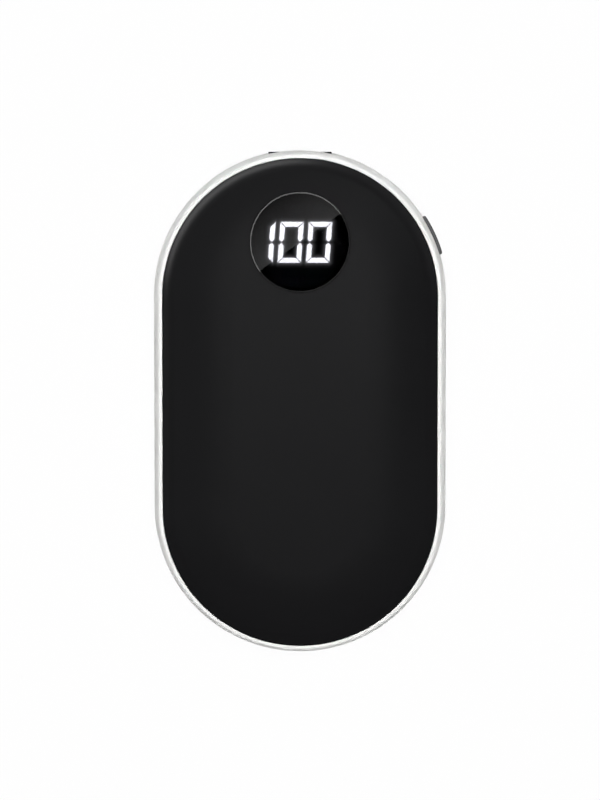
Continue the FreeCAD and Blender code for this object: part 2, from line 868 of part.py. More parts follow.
def make_power_button():
    stem = cushion_along_x(
        "button_stem",
        flange_back,
        end_radius,
        size("button_width"),
        size("button_height"),
        size("button_corner_radius"),
    )
    face = rod("button_face_round", 0, 0, -size("button_height"), button_face, 2 * size("button_height"))
    cap = common("button_cap", stem, face)
    rounded = round_outer_edges("button_rounded", cap, button_face.number, SIZES["button_edge_radius"])
    wide = size("button_flange_width")
    plate_low = (flange_back, -wide / 2, -flange_height / 2)
    plate = box("button_plate", plate_low, (size("band_wall"), wide, flange_height))
    bore = rod("button_flange_round", 0, 0, -flange_height, flange_face, 2 * flange_height)
    flange = common("button_flange", plate, bore)
    wide = size("button_post_width")
    high = size("button_post_height")
    post = box("button_post", (plunger_tip, -wide / 2, -high / 2), (flange_back - plunger_tip, wide, high))
    piece("power_button", on_button_axis(fuse("power_button", [rounded, flange, post])))


def make_switch():
    depth = size("switch_depth")
    low = (switch_face - depth, -size("switch_width") / 2, -size("socket_height") / 2)
    block = box("switch_block", low, (depth, size("switch_width"), size("socket_height")))
    gap = size("plunger_gap")
    wide = size("plunger_width")
    high = size("plunger_height")
    back = switch_face - size("plunger_insertion")
    room = size("plunger_insertion") + size("button_travel") + 2 * gap
    pocket_low = (switch_face - room, -wide / 2 - gap, -high / 2 - gap)
    pocket = box("switch_pocket", pocket_low, (room, wide + 2 * gap, high + 2 * gap))
    piece("switch_body", on_button_axis(cut("switch_body", block, [pocket])))
    stalk = box("plunger_stalk", (back, -wide / 2, -high / 2), (plunger_tip - back, wide, high))
    piece("switch_plunger", on_button_axis(group("switch_plunger", [stalk])))


# Charging socket


def make_socket():
    tube = obround_along_y(
        "socket_tube", socket_back, size("socket_length"), size("socket_width"), size("socket_height")
    )
    bore = obround_along_y(
        "socket_bore", socket_back, size("socket_length"), socket_inner_width, socket_inner_height
    )
    foot_span = (size("socket_foot_width"), size("socket_foot_length"), size("socket_wall"))
    inner_x = size("socket_width") / 2 - size("socket_foot_width") / 2
    feet = []
    for side in (-1, 1):
        for row in (1, 2):
            low_x = inner_x if side > 0 else -(inner_x + size("socket_foot_width"))
            low_y = socket_back + row * size("socket_foot_length")
            low = (low_x, low_y, board_low - size("socket_wall"))
            feet.append(box(f"socket_foot_{len(feet)}", low, foot_span))
    piece("usb_shell", cut("usb_shell", fuse("socket_outside", [tube] + feet), [bore]))


def make_tongue():
    block = obround_along_y(
        "tongue_block", socket_back, size("socket_block_length"), socket_inner_width, socket_inner_height
    )
    low_z = mid_height - size("tongue_thickness") / 2
    span = (size("tongue_width"), tongue_end - tongue_root, size("tongue_thickness"))
    blade = box("tongue_blade", (-size("tongue_width") / 2, tongue_root, low_z), span)
    piece("usb_tongue", fuse("usb_tongue", [block, blade]))
    strips = []
    span = (size("contact_width"), size("contact_length"), size("contact_thickness"))
    for low in (low_z - size("contact_thickness"), low_z + size("tongue_thickness")):
        for number in range(CONTACTS_PER_FACE):
            step = number - (CONTACTS_PER_FACE - 1) / 2
            low_x = step * size("contact_pitch") - size("contact_width") / 2
            strips.append(box(f"contact_{len(strips)}", (low_x, tongue_root, low), span))
    piece("usb_contacts", group("usb_contacts", strips))


# Battery


def make_cell(node, below_web):
    body = doc.addObject("PartDesign::Body", node)
    half = cell_width / 2
    pouch = sketch(body, node + "_outline", "XY_Plane", web_top)
    outline(pouch, [(-half, cell_low), (half, cell_low), (half, cell_high), (-half, cell_high)])
    block = pad(body, node + "_pouch", pouch, cell_thickness)
    doc.recompute()
    rounding = body.newObject("PartDesign::Fillet", node + "_rounding")
    rounding.Base = (block, [f"Edge{number}" for number in range(1, 13)])
    bind(rounding, "Radius", size("cell_edge_radius"))
    doc.recompute()
    half = terrace_width / 2
    flap = sketch(body, node + "_terrace_outline", "XY_Plane", terrace_top)
    root_y = cell_high - size("cell_edge_radius")
    outline(flap, [(-half, root_y), (half, root_y), (half, terrace_end), (-half, terrace_end)])
    pad(body, node + "_terrace", flap, size("terrace_thickness"), backwards=True)
    if below_web:
        body.Placement.Rotation = Rotation(Vector(0, 1, 0), 180)
        put(body, 0, 0, size("case_thickness"))
    piece(node, body)


def make_tabs():
    tabs = []
    links = []
    start = cell_high + size("cell_gap")
    rear_low = size("case_thickness") - terrace_top - size("tab_thickness")
    for side in (-1, 1):
        low_x = side * size("tab_offset") - size("tab_width") / 2
        for low_z in (terrace_top, rear_low):
            span = (size("tab_width"), terrace_end - start, size("tab_thickness"))
            tabs.append(box(f"tab_{len(tabs)}", (low_x, start, low_z), span))
        span = (size("tab_width"), size("tab_thickness"), guard_low - rear_low)
        links.append(box(f"link_{len(links)}", (low_x, terrace_end, rear_low), span))
    piece("cell_tabs", group("cell_tabs", tabs))
    piece("cell_links", group("cell_links", links))


def make_protection_board():
    middle = (sized(0), cell_high + size("terrace_length") / 2)
    span = (guard_length, size("guard_width"), size("guard_thickness"))
    piece("protection_board", centred_box("protection_board", middle, guard_low, span))


def make_cradle():
    low_z = mid_height - size("cradle_height") / 2
    block_span = (2 * cradle_half, cradle_high - cradle_low, size("cradle_height"))
    block = box("cradle_block", (-cradle_half, cradle_low, low_z), block_span)
    solids = [block]
    ear_low = mid_height - size("web_thickness") / 2
    reach = boss_centre + size("boss_inset") - size("board_gap")
    for number, place in enumerate(EAR_PLACES):
        low = (-reach, place - size("ear_width") / 2, ear_low)
        span = (2 * reach, size("ear_width"), size("web_thickness"))
        solids.append(box(f"cradle_ears_{number}", low, span))
    for number, (x, y) in enumerate(BOARD_LUGS):
        span = (size("lug_width"), size("lug_length"), size("lug_height"))
        solids.append(centred_box(f"cradle_lug_{number}", (x, y), board_low - size("lug_height"), span))
    pocket_span = (2 * pocket_half, pocket_high - pocket_low, size("cradle_height"))
    tools = [box("front_pocket", (-pocket_half, pocket_low, web_top), pocket_span)]
    rear_low = size("case_thickness") - web_top - size("cradle_height")
    tools.append(box("rear_pocket", (-pocket_half, pocket_low, rear_low), pocket_span))
    for number, side in enumerate((-1, 1)):
        wide = size("tab_width") + 2 * size("cell_gap")
        low = (side * size("tab_offset") - wide / 2, terrace_end - size("cell_gap"), ear_low)
        span = (wide, 2 * size("cell_gap"), size("web_thickness"))
        tools.append(box(f"link_slot_{number}", low, span))
    for number, (x, y) in enumerate(CRADLE_SCREWS):
        tools.append(rod(f"ear_hole_{number}", x, y, ear_low, pass_radius, size("web_thickness")))
    for number, (x, y) in enumerate(BOARD_LUGS):
        low = board_low - size("lug_height")
        tools.append(rod(f"lug_hole_{number}", x, y, low, tapped_radius, size("lug_height")))
    piece("battery_cradle", cut("battery_cradle", fuse("cradle_solid", solids), tools))


def screw(name, x, y, seat):
    head = rod(name + "_head", x, y, seat, size("screw_head_radius"), size("screw_head_height"))
    length = size("screw_length")
    shank = rod(name + "_shank", x, y, seat - length, size("screw_radius"), length)
    socket = doc.addObject("Part::Prism", name + "_socket")
    socket.Polygon = 6
    bind(socket, "Circumradius", size("screw_socket_radius"))
    bind(socket, "Height", size("screw_socket_depth"))
    put(socket, x, y, seat + size("screw_head_height") - size("screw_socket_depth"))
    return cut(name, fuse(name + "_blank", [head, shank]), [socket])


def make_screws(node, spots, seat):
    screws = [screw(f"{node}_{number}", x, y, seat) for number, (x, y) in enumerate(spots)]
    piece(node, group(node, screws))


# Heating stack


def film_outline(drawing, top):
    corners = [(film_half, -half_straight), (film_half, top), (-film_half, top), (-film_half, -half_straight)]
    outline(drawing, corners, {3: (sized(0), -half_straight)})


def sheet_piece(node, top, face, thickness, at_rear):
    body = doc.addObject("PartDesign::Body", node)
    drawing = sketch(body, node + "_outline", "XY_Plane", face)
    film_outline(drawing, top)
    pad(body, node + "_thickness", drawing, thickness, backwards=True)
    turn_to_rear(body, at_rear)
    piece(node, body)


def turn_to_rear(target, at_rear):
    # The rear stack is the front one turned over about the long axis.
    if at_rear:
        target.Placement.Rotation = Rotation(Vector(0, 1, 0), 180)
        put(target, 0, 0, size("case_thickness"))


def make_track(node, at_rear):
    # Parallel runs joined in turn at the low and the high end; the outer runs reach the lead ends.
    width = size("track_width")
    pair_pitch = 2 * (SIZES["track_width"] + SIZES["track_gap"])
    runs = 2 * int((2 * track_half.number + SIZES["track_gap"]) / pair_pitch)
    pitch = (2 * track_half - width) / (runs - 1)
    strips = []
    for number in range(runs):
        low_x = number * pitch - track_half
        outer = number in (0, runs - 1)
        high_y = film_top - size("cell_gap") if outer else track_high
        span = (width, high_y - track_low, size("track_thickness"))
        strips.append(box(f"{node}_run_{number}", (low_x, track_low, track_inner), span))
    for number in range(runs - 1):
        low_x = number * pitch - track_half
        link_y = track_low if number % 2 == 0 else track_high - width
        span = (pitch + width, width, size("track_thickness"))
        strips.append(box(f"{node}_link_{number}", (low_x, link_y, track_inner), span))
    track = fuse(node, strips)
    turn_to_rear(track, at_rear)
    piece(node, track)


def make_heating(side, at_rear):
    sheet_piece(f"{side}_heater_film", film_top, inner_face, size("film_thickness"), at_rear)
    make_track(f"{side}_heater_track", at_rear)
    thickness = size("insulator_thickness")
    sheet_piece(f"{side}_insulator", insulator_top, track_inner, thickness, at_rear)
    feeler = box(
        f"{side}_thermistor_block",
        (
            -size("feeler_width") / 2,
            feeler_place - size("feeler_length") / 2,
            film_inner - size("feeler_thickness"),
        ),
        (size("feeler_width"), size("feeler_length"), size("feeler_thickness")),
    )
    feeler = group(f"{side}_thermistor", [feeler])
    turn_to_rear(feeler, at_rear)
    piece(f"{side}_thermistor", feeler)


# Main board


def pin_spots():
    spots = []
    for row in (-1, 1):
        for number in range(PINS_PER_ROW):
            x = (number - (PINS_PER_ROW - 1) / 2) * size("pin_pitch")
            spots.append((x, lens_centre + row * pin_row_offset))
    return spots


def make_main_board():
    body = doc.addObject("PartDesign::Body", "board_blank")
    drawing = sketch(body, "board_outline", "XY_Plane", board_low)
    rise = board_edge - half_straight
    half = root(board_radius * board_radius - rise * rise)
    outline(drawing, [(-half, board_edge), (half, board_edge)], {1: (sized(0), half_straight)})
    for x, y in BOARD_BOSSES + BOARD_LUGS:
        circle(drawing, x, y, pass_radius)
    for x, y in pin_spots():
        circle(drawing, x, y, size("pin_radius") + size("pin_gap"))
    pad(body, "board_plate", drawing, size("board_thickness"))
    # The board stays clear of the button and of the corner between it and the cradle.
    notch_top = size("button_flange_width") / 2 + 2 * size("board_gap")
    high = size("case_thickness")
    notch_low = (switch_face + size("board_gap"), -end_radius, -high / 2)
    notch = box("board_notch", notch_low, (end_radius, notch_top + end_radius, high))
    room = on_button_axis(group("board_notch_room", [notch]))
    piece("main_board", cut("main_board", body, [room]))


def segment(drawing, along, corners, flip_x=1, flip_y=1):
    # One figure segment, mirrored into its place in the figure and slanted with it.
    lean = tangent(size("digit_slant"))
    slanted = []
    for x, y in corners:
        across = flip_x * x
        up = flip_y * y
        slanted.append((along + across + lean * up, lens_centre + up))
    outline(drawing, slanted)


def segment_shapes():
    # Upright strokes are mitred at the corner and pointed at the middle; bars are mitred at both ends.
    joint = size("digit_joint")
    stroke = size("digit_stroke")
    side = digit_width / 2
    top = digit_height / 2
    inside = side - stroke
    upright = [
        (side, stroke / 2 + joint),
        (side, top - joint),
        (inside, top - stroke - joint),
        (inside, stroke / 2 + joint),
        (side - stroke / 2, joint),
    ]
    bar = [
        (joint - inside, top - stroke),
        (inside - joint, top - stroke),
        (side - joint, top),
        (joint - side, top),
    ]
    tip = side - stroke / 2 - joint
    flat = inside - joint
    middle = [
        (-tip, sized(0)),
        (-flat, -stroke / 2),
        (flat, -stroke / 2),
        (tip, sized(0)),
        (flat, stroke / 2),
        (-flat, stroke / 2),
    ]
    return upright, bar, middle


def draw_segments(drawing, lit):
    # The leading figure is a one, the two that follow are noughts.
    upright, bar, middle = segment_shapes()
    centre = (size("digit_stroke") - digit_width) / 2
    for number in range(3):
        along = centre + (number - 1) * digit_pitch
        nought = number > 0
        if not lit:
            if nought:
                segment(drawing, along, middle)
            continue
        for flip_y in (-1, 1):
            segment(drawing, along, upright, 1, flip_y)
            if nought:
                segment(drawing, along, upright, -1, flip_y)
                segment(drawing, along, bar, 1, flip_y)


def make_segments(node, lit):
    body = doc.addObject("PartDesign::Body", node)
    body.AllowCompound = True
    drawing = sketch(body, node + "_outline", "XY_Plane", display_top)
    draw_segments(drawing, lit)
    pad(body, node + "_depth", drawing, size("segment_depth"), backwards=True)
    return piece(node, body)


def make_display():
    lit = make_segments("lit_segments", True)
    unlit = make_segments("unlit_segments", False)
    centre = (sized(0), lens_centre)
    span = (display_width, display_depth, display_top - board_top)
    block = centred_box("display_block", centre, board_top, span)
    piece("display_housing", cut("display_housing", block, [lit, unlit]))
    length = size("board_thickness") + size("pin_tail")
    pins = [
        rod(f"display_pin_{number}", x, y, board_top - length, size("pin_radius"), length)
        for number, (x, y) in enumerate(pin_spots())
    ]
    piece("display_pins", group("display_pins", pins))


def hung_boxes(node, span):
    # Components of one kind, soldered to the rear face of the board.
    parts = []
    for number, (x, y) in enumerate(BOARD_SPOTS[node]):
        middle = (sized(x), lens_centre + y)
        parts.append(centred_box(f"{node}_{number}", middle, board_low - span[2], span))
    piece(node, group(node, parts))


def make_components():
    chip = (size("chip_size"), size("chip_size"), size("chip_height"))
    coil = (size("inductor_size"), size("inductor_size"), size("inductor_height"))
    switch = (size("transistor_length"), size("transistor_width"), size("transistor_height"))
    store = (size("capacitor_length"), size("capacitor_width"), size("capacitor_width"))
    chip_resistor = (size("resistor_length"), size("resistor_width"), size("resistor_height"))
    hung_boxes("charge_chip", chip)
    hung_boxes("microcontroller", chip)
    hung_boxes("power_inductor", coil)
    hung_boxes("heater_transistors", switch)
    hung_boxes("board_capacitors", store)
    hung_boxes("board_resistors", chip_resistor)


# Leads


def lead_shape(route, radius):
    # Straight runs joined by arcs that leave each run along it.
    points = [Vector(*[sized(value).number for value in spot]) for spot in route]
    edges = []
    here = points[0]
    for before, corner, after in zip(points, points[1:], points[2:]):
        back = (before - corner).normalize()
        ahead = (after - corner).normalize()
        half_turn = (math.pi - back.getAngle(ahead)) / 2
        reach = LEAD_BEND_SHARE * min((before - corner).Length, (after - corner).Length)
        bend = reach / math.tan(half_turn)
        bisector = (back + ahead).normalize()
        centre = corner + bisector * (bend / math.cos(half_turn))
        start = corner + back * reach
        end = corner + ahead * reach
        edges.append(Part.LineSegment(here, start).toShape())
        edges.append(Part.Arc(start, centre - bisector * bend, end).toShape())
        here = end
    edges.append(Part.LineSegment(here, points[-1]).toShape())
    spine = Part.Wire(edges)
    ring = Part.Wire([Part.makeCircle(radius, points[0], points[1] - points[0])])
    shape = spine.makePipeShell([ring], True, False)
    expected = math.pi * radius * radius * spine.Length
    if abs(shape.Volume - expected) > 0.01 * expected:
        raise RuntimeError("a lead does not have the volume of its length")
    return shape


def make_leads(node, routes, radius):
    shapes = [lead_shape(route, radius.number) for route in routes]
    leads = doc.addObject("Part::Feature", node)
    leads.Shape = shapes[0] if len(shapes) == 1 else Part.makeCompound(shapes)
    piece(node, leads)


def over(x, start_y, start_z, run_z, end_y, end_z):
    return [(x, start_y, start_z), (x, start_y, run_z), (x, end_y, run_z), (x, end_y, end_z)]


def turned_over(route):
    thickness = size("case_thickness")
    return [(x, y, thickness - z) for x, y, z in route]


def make_stack_leads(kind, x, face):
    # A pair from each heating stack to the near face of the board, front and rear.
    end_y = board_edge + size(f"{kind}_landing")
    run_z = face - size(f"{kind}_rise")
    far_board = size("case_thickness") - board_low
    for side, landing in (("front", board_top), ("rear", far_board)):
        routes = [over(sign * x, feeler_place, face, run_z, end_y, landing) for sign in (-1, 1)]
        if side == "rear":
            routes = [turned_over(route) for route in routes]
        make_leads(f"{side}_{kind}s", routes, size(f"{kind}_radius"))


def make_all_leads():
    middle = cell_high + size("terrace_length") / 2
    rise = guard_top + size("battery_lead_rise")
    offset = guard_length / 2 - size("battery_lead_inset")
    end_y = board_edge + size("battery_lead_landing")
    for node, side in (("battery_positive_lead", 1), ("battery_negative_lead", -1)):
        route = over(side * offset, middle, guard_top, rise, end_y, board_top)
        make_leads(node, [route], size("battery_lead_radius"))
    make_stack_leads("heater_lead", heater_lead_x, track_inner)
    make_stack_leads("sensor_lead", size("sensor_lead_spacing") / 2, film_inner - size("feeler_thickness"))


# Build, check and write


def check_objects():
    for item in doc.Objects:
        if "Invalid" in item.State or "Error" in item.State:
            raise RuntimeError(f"{item.Name} did not compute: {item.State}")
    for solid in pieces:
        if solid.Shape.isNull() or not solid.Shape.isValid() or not solid.Shape.Solids:
            raise RuntimeError(f"{solid.Label} has no valid solid")


def write_pieces():
    os.makedirs("parts", exist_ok=True)
    for solid in pieces:
        solid.Shape.exportStep(f"parts/{solid.Label}.step")
        spread = solid.Shape.BoundBox
        print(
            f"{solid.Label}: {len(solid.Shape.Solids)} solid(s), {solid.Shape.Volume:.2f} mm3, "
            f"x {spread.XMin:.2f} {spread.XMax:.2f} y {spread.YMin:.2f} {spread.YMax:.2f} "
            f"z {spread.ZMin:.2f} {spread.ZMax:.2f}"
        )


doc.recompute()
make_front_cover()
make_rear_cover()
make_frame_band()
make_port_insert()
make_lens()
make_power_button()
make_switch()
make_socket()
make_tongue()
make_cell("front_cell", False)
make_cell("rear_cell", True)
make_tabs()
make_protection_board()
make_cradle()
make_screws("cradle_screws", CRADLE_SCREWS, web_top)
make_screws("board_screws", BOARD_BOSSES + BOARD_LUGS, board_top)
make_heating("front", False)
make_heating("rear", True)
make_main_board()
make_display()
make_components()
make_all_leads()
doc.recompute()
check_objects()
write_pieces()
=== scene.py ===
import json
import math

import bpy
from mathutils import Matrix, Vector
from mathutils.bvhtree import BVHTree

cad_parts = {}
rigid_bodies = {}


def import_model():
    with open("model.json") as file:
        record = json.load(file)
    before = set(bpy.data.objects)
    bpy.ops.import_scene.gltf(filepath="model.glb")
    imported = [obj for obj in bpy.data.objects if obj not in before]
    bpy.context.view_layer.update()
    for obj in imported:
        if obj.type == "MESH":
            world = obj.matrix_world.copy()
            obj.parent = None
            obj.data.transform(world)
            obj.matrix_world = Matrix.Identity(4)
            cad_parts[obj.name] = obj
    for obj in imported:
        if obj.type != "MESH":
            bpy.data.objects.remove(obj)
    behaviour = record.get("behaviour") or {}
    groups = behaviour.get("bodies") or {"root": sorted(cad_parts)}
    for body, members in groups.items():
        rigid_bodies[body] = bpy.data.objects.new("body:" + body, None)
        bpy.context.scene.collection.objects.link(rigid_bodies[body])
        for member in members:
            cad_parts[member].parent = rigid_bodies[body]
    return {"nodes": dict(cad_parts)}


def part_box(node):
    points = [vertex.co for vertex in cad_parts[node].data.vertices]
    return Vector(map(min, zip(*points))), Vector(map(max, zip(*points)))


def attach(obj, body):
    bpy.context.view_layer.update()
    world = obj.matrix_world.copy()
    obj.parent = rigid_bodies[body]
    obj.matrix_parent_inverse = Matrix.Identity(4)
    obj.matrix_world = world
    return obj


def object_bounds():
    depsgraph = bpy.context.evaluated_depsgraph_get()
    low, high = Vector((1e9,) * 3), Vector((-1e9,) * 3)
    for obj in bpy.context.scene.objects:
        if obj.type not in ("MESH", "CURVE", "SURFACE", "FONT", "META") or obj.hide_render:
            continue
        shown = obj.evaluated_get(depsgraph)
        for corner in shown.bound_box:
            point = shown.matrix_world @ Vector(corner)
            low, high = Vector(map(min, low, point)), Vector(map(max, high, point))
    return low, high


for leftover in list(bpy.data.objects):
    bpy.data.objects.remove(leftover)
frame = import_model()
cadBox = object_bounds()
nodes = frame["nodes"]
scene = bpy.context.scene
scene.view_settings.view_transform = "Standard"
mm = 0.001
print("frame loaded with", len(nodes), "pieces")


# sRGB hex to linear colour
def linear(hexColour):
    channels = [int(hexColour[start:start + 2], 16) / 255 for start in (1, 3, 5)]
    return [c / 12.92 if c <= 0.04045 else ((c + 0.055) / 1.055) ** 2.4 for c in channels] + [1.0]


# settings go to a property of the node, or else to the socket of that name or number
def addNode(tree, kind, settings=None, links=None):
    node = tree.nodes.new(kind)
    for key, value in (settings or {}).items():
        if isinstance(key, str) and hasattr(node, key):
            setattr(node, key, value)
        else:
            node.inputs[key].default_value = value
    for key, source in (links or {}).items():
        tree.links.new(source, node.inputs[key])
    return node


def emptyFinish(name):
    finish = bpy.data.materials.new(name)
    finish.use_nodes = True
    finish.node_tree.nodes.clear()
    return finish, finish.node_tree


def shadedFinish(name, surface):
    finish, tree = emptyFinish(name)
    shader = addNode(tree, "ShaderNodeBsdfPrincipled", surface)
    addNode(tree, "ShaderNodeOutputMaterial", links={"Surface": shader.outputs["BSDF"]})
    return finish, tree, shader


# the two noises of every finish, and the middle of the relief's range that the roughness follows
driftNoise = {"Detail": 4.0}
reliefNoise = {"Detail": 3.0, "Roughness": 0.6}
reliefRange = {"From Min": 0.3, "From Max": 0.7}


# Two tones that drift into each other, a fine relief, and a roughness that follows the relief.
# stretch pulls the relief out along one axis, as drawing or rolling does.
def texturedFinish(name, look):
    finish, tree, shader = shadedFinish(name, look["surface"])
    place = addNode(tree, "ShaderNodeTexCoord").outputs["Object"]
    drift = addNode(tree, "ShaderNodeTexNoise",
                    {"Scale": 1 / (look["driftSize"] * mm), **driftNoise}, {"Vector": place})
    firstTone, secondTone = [linear(tone) for tone in look["tones"]]
    tones = addNode(tree, "ShaderNodeMix", {"data_type": "RGBA", 6: firstTone, 7: secondTone},
                    {0: drift.outputs["Fac"]})  # sockets 6 and 7 are its colours, output 2 their mix
    tree.links.new(tones.outputs[2], shader.inputs["Base Color"])
    pulled = addNode(tree, "ShaderNodeMapping", {"Scale": look.get("stretch", (1, 1, 1))}, {"Vector": place})
    relief = addNode(tree, "ShaderNodeTexNoise",
                     {"Scale": 1 / (look["grainSize"] * mm), **reliefNoise},
                     {"Vector": pulled.outputs["Vector"]})
    low, high = look["roughness"]
    gloss = addNode(tree, "ShaderNodeMapRange", {"To Min": low, "To Max": high, **reliefRange},
                    {"Value": relief.outputs["Fac"]})
    tree.links.new(gloss.outputs["Result"], shader.inputs["Roughness"])
    bump = addNode(tree, "ShaderNodeBump", {"Distance": look["grainDepth"] * mm},
                   {"Height": relief.outputs["Fac"]})
    tree.links.new(bump.outputs["Normal"], shader.inputs["Normal"])
    return finish


# a mesh of the scene's own, with any named values given for its corners
def addPiece(name, corners, faces, finish, **cornerValues):
    mesh = bpy.data.meshes.new(name)
    mesh.from_pydata(corners, [], faces)
    for valueName, values in cornerValues.items():
        mesh.attributes.new(valueName, "FLOAT", "POINT").data.foreach_set("value", values)
    mesh.materials.append(finish)
    piece = bpy.data.objects.new(name, mesh)
    scene.collection.objects.link(piece)
    return piece


def dress(finish, *names):
    for name in names:
        nodes[name].material_slots[0].material = finish


# In the looks below driftSize, grainSize and grainDepth are in millimetres.
# Covers: ABS under a soft-touch lacquer, sprayed. Dull and almost black, it spreads every light
# into a wide haze. The haze is a faint rough coat, over a base that has no shine of its own.
# The real grit is some 0.03 mm; 0.25 mm is as fine as the render shows.
softTouch = {
    "surface": {"Specular IOR Level": 0.0, "Coat Weight": 0.034, "Coat Roughness": 0.36, "Coat IOR": 1.5},
    "tones": ("#131314", "#161617"), "driftSize": 14,
    "grainSize": 0.25, "grainDepth": 0.004, "roughness": (0.34, 0.4),
}
dress(texturedFinish("softTouchLacquerOnAbs", softTouch), "front_cover", "rear_cover")

# Band: white ABS from a blasted mould, plain white with hardly any shine, again a faint coat.
# The slight orange peel is 2.5 mm wide.
blastedBand = {
    "surface": {"Specular IOR Level": 0.0, "Coat Weight": 0.05, "Coat Roughness": 0.5, "Coat IOR": 1.5},
    "tones": ("#f6f6f4", "#fafaf8"), "driftSize": 20,
    "grainSize": 2.5, "grainDepth": 0.004, "roughness": (0.5, 0.6),
}
dress(texturedFinish("blastedMouldedAbs", blastedBand), "frame_band")

# Button: dark grey ABS from a spark-eroded mould, a fine satin.
satinButton = {
    "surface": {"Specular IOR Level": 0.0, "Coat Weight": 0.08, "Coat Roughness": 0.4, "Coat IOR": 1.5},
    "tones": ("#4c4c4d", "#555556"), "driftSize": 5,
    "grainSize": 0.15, "grainDepth": 0.006, "roughness": (0.36, 0.46),
}
dress(texturedFinish("satinMouldedAbs", satinButton), "power_button")

# Socket surround and the small moulded parts: black nylon, dull from its glass fibres.
mattNylon = {
    "surface": {"IOR": 1.52, "Specular IOR Level": 0.06},
    "tones": ("#0d0d0e", "#141415"), "driftSize": 3,
    "grainSize": 0.12, "grainDepth": 0.008, "roughness": (0.5, 0.65),
}
dress(texturedFinish("mattGlassFilledNylon", mattNylon), "port_insert", "usb_tongue", "switch_body")
print("case and button finished")

# Lens: smoked acrylic, polished, so its flat face mirrors what is overhead and the figures shine through.
# lensMiddle is on that face.
lensLow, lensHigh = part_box("display_lens")
lensMiddle = Vector(((lensLow.x + lensHigh.x) / 2, (lensLow.y + lensHigh.y) / 2, lensHigh.z))
smokedLens = {
    "surface": {"IOR": 1.49, "Transmission Weight": 1.0},
    "tones": ("#404044", "#444448"), "driftSize": 30,
    "grainSize": 6, "grainDepth": 0.0002, "roughness": (0.0, 0.012),
}
dress(texturedFinish("smokedPolishedAcrylic", smokedLens), "display_lens")

# Display: a matt black resin housing with milky epoxy bars, lit from behind.
mattResin = {
    "surface": {"IOR": 1.5, "Specular IOR Level": 0.2},
    "tones": ("#040404", "#070707"), "driftSize": 2,
    "grainSize": 0.1, "grainDepth": 0.006, "roughness": (0.6, 0.75),
}
dress(texturedFinish("mattDisplayResin", mattResin), "display_housing", "unlit_segments")
figureLight = {"Emission Color": linear("#fffffb"), "Emission Strength": 19.0}
milkyBars = {
    "surface": {"IOR": 1.5, **figureLight},
    "tones": ("#e8ecee", "#f4f6f7"), "driftSize": 1.5,
    "grainSize": 0.2, "grainDepth": 0.004, "roughness": (0.4, 0.55),
}
dress(texturedFinish("litMilkyEpoxy", milkyBars), "lit_segments")

# Light that leaks sideways in the epoxy: a thin sheet over the bars, fading with the distance from them.
# Sizes in millimetres; share is the part of the light that shows at the edge of a bar.
glow = {"cell": 0.2, "reach": 8.9, "lift": 0.07, "fade": 0.24, "share": 0.14}


def makeGlow():
    bars = nodes["lit_segments"].data
    barTree = BVHTree.FromPolygons([v.co for v in bars.vertices], [p.vertices[:] for p in bars.polygons])
    barTop = max(v.co.z for v in bars.vertices)
    steps = int(glow["reach"] / glow["cell"])
    index, points, shares = {}, [], []
    for row in range(-steps, steps + 1):
        for column in range(-steps, steps + 1):
            x, y = column * glow["cell"], row * glow["cell"]
            if math.hypot(x, y) > glow["reach"]:
                continue
            spot = Vector((lensMiddle.x + x * mm, lensMiddle.y + y * mm, barTop))
            away = barTree.find_nearest(spot)[3] / mm  # item 3 is the distance
            index[row, column] = len(points)
            points.append((spot.x, spot.y, barTop + glow["lift"] * mm))
            shares.append(glow["share"] * math.exp(-away / glow["fade"]))
    cells = []
    for row, column in index:
        corners = [(row, column), (row, column + 1), (row + 1, column + 1), (row + 1, column)]
        if all(corner in index for corner in corners):
            cells.append([index[corner] for corner in corners])
    finish, tree, shader = shadedFinish("leakedFigureLight", {
        "Base Color": linear("#000000"), "Roughness": 1.0, "Specular IOR Level": 0.0, **figureLight})
    share = addNode(tree, "ShaderNodeAttribute", {"attribute_name": "glowShare"})
    tree.links.new(share.outputs["Fac"], shader.inputs["Alpha"])
    sheet = addPiece("figure_glow", points, cells, finish, glowShare=shares)
    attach(sheet, "case")
    print("figure glow with", len(cells), "cells")


makeGlow()

# Metals of the socket, pins and screws.
# Nickel-plated steel, drawn to a tube: a cool shine with fine lines along the tube.
drawnNickel = {
    "surface": {"Metallic": 1.0},
    "tones": ("#b9b6ae", "#c4c1b9"), "driftSize": 3,
    "grainSize": 0.12, "grainDepth": 0.003, "roughness": (0.2, 0.32), "stretch": (1, 0.08, 1),
}
dress(texturedFinish("drawnNickelPlatedSteel", drawnNickel), "usb_shell")
# Gold flash on bronze: a warm satin.
goldFlash = {
    "surface": {"Metallic": 1.0},
    "tones": ("#d9ae52", "#e2ba62"), "driftSize": 1,
    "grainSize": 0.1, "grainDepth": 0.002, "roughness": (0.22, 0.32), "stretch": (1, 0.1, 1),
}
dress(texturedFinish("goldFlashedBronze", goldFlash), "usb_contacts")
# Tin dipped on copper: soft and slightly lumpy.
dippedTin = {
    "surface": {"Metallic": 1.0},
    "tones": ("#bfc0c0", "#cfd0d0"), "driftSize": 0.8,
    "grainSize": 0.3, "grainDepth": 0.01, "roughness": (0.28, 0.4),
}
dress(texturedFinish("dippedTinOnCopper", dippedTin), "display_pins")
# Zinc on steel, barrel plated: dull grey with small scuffs.
barrelZinc = {
    "surface": {"Metallic": 1.0},
    "tones": ("#a4a7aa", "#b4b7b9"), "driftSize": 1.2,
    "grainSize": 0.15, "grainDepth": 0.004, "roughness": (0.3, 0.45),
}
dress(texturedFinish("barrelZincOnSteel", barrelZinc), "cradle_screws", "board_screws")
